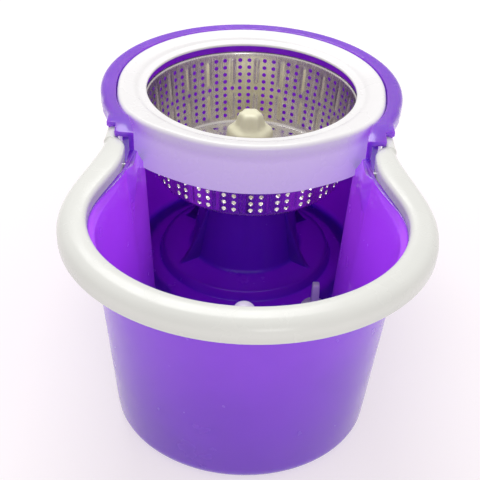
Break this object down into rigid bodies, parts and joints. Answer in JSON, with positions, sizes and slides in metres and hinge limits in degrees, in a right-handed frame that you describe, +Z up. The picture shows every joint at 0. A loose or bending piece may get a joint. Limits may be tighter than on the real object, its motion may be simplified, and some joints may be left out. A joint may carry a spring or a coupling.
{
  "type": "spin mop bucket",
  "caption": "Spin mop bucket: keyhole tub with a round spinning wringer basket, splash ring, swinging carry handle, rinse post and drain plug.",
  "frame": {"origin": "on the ground, under the middle of the object's box", "axes": "+Z up; +Y from the tub's front towards the spinner at the back; +X to the right for someone who faces the tub's front"},
  "size_m": [0.2656, 0.448, 0.188],
  "materials": {
    "violet_plastic": "gloss",
    "cream_plastic": "satin",
    "white_plastic": "gloss",
    "ivory_plastic": "satin",
    "stainless_steel": "polished",
    "bearing_steel": "ground",
    "natural_nylon": "matte",
    "black_rubber": "matte"
  },
  "bodies": {
    "bucket": {"bucket_body": "violet_plastic", "bearing_outer_race": "bearing_steel", "lower_bush": "natural_nylon", "rinse_pin": "bearing_steel", "drain_gasket": "black_rubber"},
    "handle": {"carry_handle": "cream_plastic", "handle_pin_left": "bearing_steel", "handle_pin_right": "bearing_steel"},
    "ring": {"splash_ring": "white_plastic"},
    "spinner": {"spin_basket": "stainless_steel", "drive_post": "ivory_plastic", "hub_plate": "natural_nylon", "post_screw_1": "bearing_steel", "post_screw_2": "bearing_steel", "post_screw_3": "bearing_steel", "post_screw_4": "bearing_steel", "axle_shaft": "bearing_steel", "bearing_inner_race": "bearing_steel", "retaining_clip": "bearing_steel", "thrust_washer": "bearing_steel"},
    "ball_train": {"bearing_cage": "natural_nylon", "bearing_ball_1": "bearing_steel", "bearing_ball_2": "bearing_steel", "bearing_ball_3": "bearing_steel", "bearing_ball_4": "bearing_steel", "bearing_ball_5": "bearing_steel", "bearing_ball_6": "bearing_steel", "bearing_ball_7": "bearing_steel"},
    "rinse_cap": {"rinse_cap": "white_plastic"},
    "drain_plug": {"drain_plug": "white_plastic"}
  },
  "joints": [
    {"name": "handle_lift", "type": "hinge", "parent": "bucket", "child": "handle", "pos_m": [0, -0.024, 0.167], "axis": [-1, 0, 0], "range_deg": [0, 90]},
    {"name": "ring_lift", "type": "slide", "parent": "bucket", "child": "ring", "axis": [0, 0, 1], "range_m": [0, 0.06]},
    {"name": "basket_spin", "type": "hinge", "parent": "bucket", "child": "spinner", "pos_m": [0, 0.093, 0.1], "axis": [0, 0, 1], "continuous": true},
    {"name": "ball_orbit", "type": "hinge", "parent": "bucket", "child": "ball_train", "pos_m": [0, 0.093, 0.089], "axis": [0, 0, 1], "continuous": true},
    {"name": "rinse_cap_spin", "type": "hinge", "parent": "bucket", "child": "rinse_cap", "pos_m": [0, -0.1017, 0.095], "axis": [0, 0, 1], "continuous": true},
    {"name": "drain_plug_pull", "type": "slide", "parent": "bucket", "child": "drain_plug", "axis": [0, 0, 1], "range_m": [0, 0.03]}
  ],
  "couplings": [
    {"joint": "ball_orbit", "follows": "basket_spin", "ratio": 0.3788}
  ]
}
